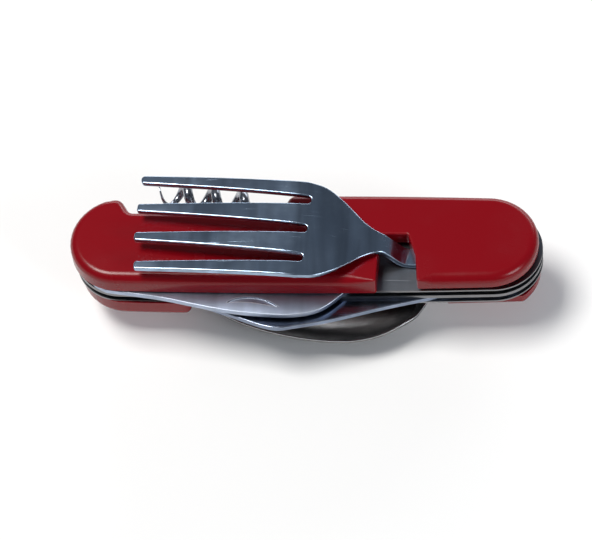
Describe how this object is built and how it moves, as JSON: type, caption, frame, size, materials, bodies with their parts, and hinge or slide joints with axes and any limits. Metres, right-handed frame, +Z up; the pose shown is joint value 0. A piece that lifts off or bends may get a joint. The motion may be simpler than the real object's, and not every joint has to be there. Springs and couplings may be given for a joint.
{
  "type": "folding camping cutlery",
  "caption": "Folding picnic cutlery: two red-scaled handle halves that key together, with a fork, a spoon, a knife, a can opener and a corkscrew that all fold away.",
  "frame": {"origin": "middle of the underside of the folded object, at the level the spoon's bowl rests on", "axes": "+X along the handle towards the fork's pivot, +Y across it towards the corkscrew, +Z up through the fork"},
  "size_m": [0.1048, 0.0374, 0.0275],
  "materials": {
    "red_plastic": "gloss",
    "liner_steel": "satin",
    "spring_steel": "satin",
    "rivet_steel": "satin",
    "brass": "satin",
    "polished_steel": "polished",
    "wire_steel": "polished"
  },
  "bodies": {
    "front_half": {"front_scale": "red_plastic", "front_outer_liner": "liner_steel", "front_inner_liner": "liner_steel", "opener_spring": "spring_steel", "fork_rivet": "rivet_steel", "fork_spacer": "brass", "opener_rivet": "rivet_steel", "opener_bush": "brass", "front_spring_rivets": "rivet_steel", "front_bushes": "brass", "corkscrew_rivet": "rivet_steel", "key_studs": "rivet_steel"},
    "back_half": {"back_scale": "red_plastic", "back_inner_liner": "liner_steel", "back_outer_liner": "liner_steel", "knife_spring": "spring_steel", "knife_rivet": "rivet_steel", "end_rivet": "rivet_steel", "back_spring_rivets": "rivet_steel", "back_bushes": "brass"},
    "fork_body": {"fork": "polished_steel"},
    "spoon_body": {"spoon": "polished_steel"},
    "knife_body": {"knife_blade": "polished_steel"},
    "opener_body": {"opener": "polished_steel"},
    "corkscrew_body": {"corkscrew": "wire_steel"}
  },
  "joints": [
    {"name": "halves_slide", "type": "slide", "parent": "front_half", "child": "back_half", "axis": [1, 0, 0], "range_m": [0, 0.0046]},
    {"name": "fork_hinge", "type": "hinge", "parent": "front_half", "child": "fork_body", "pos_m": [0.04127, -0.00414, 0.01793], "axis": [0, 0, 1], "range_deg": [0, 180]},
    {"name": "opener_hinge", "type": "hinge", "parent": "front_half", "child": "opener_body", "pos_m": [-0.04172, -0.00414, 0.01605], "axis": [0, 0, -1], "range_deg": [0, 180]},
    {"name": "corkscrew_hinge", "type": "hinge", "parent": "front_half", "child": "corkscrew_body", "pos_m": [-0.00072, 0.00956, 0.01605], "axis": [0, 0, -1], "range_deg": [0, 80]},
    {"name": "knife_hinge", "type": "hinge", "parent": "back_half", "child": "knife_body", "pos_m": [0.04127, -0.00414, 0.01366], "axis": [0, 0, 1], "range_deg": [0, 180]},
    {"name": "spoon_hinge", "type": "hinge", "parent": "back_half", "child": "spoon_body", "pos_m": [0.04127, -0.00414, 0.01183], "axis": [0, 0, 1], "range_deg": [0, 180]}
  ]
}
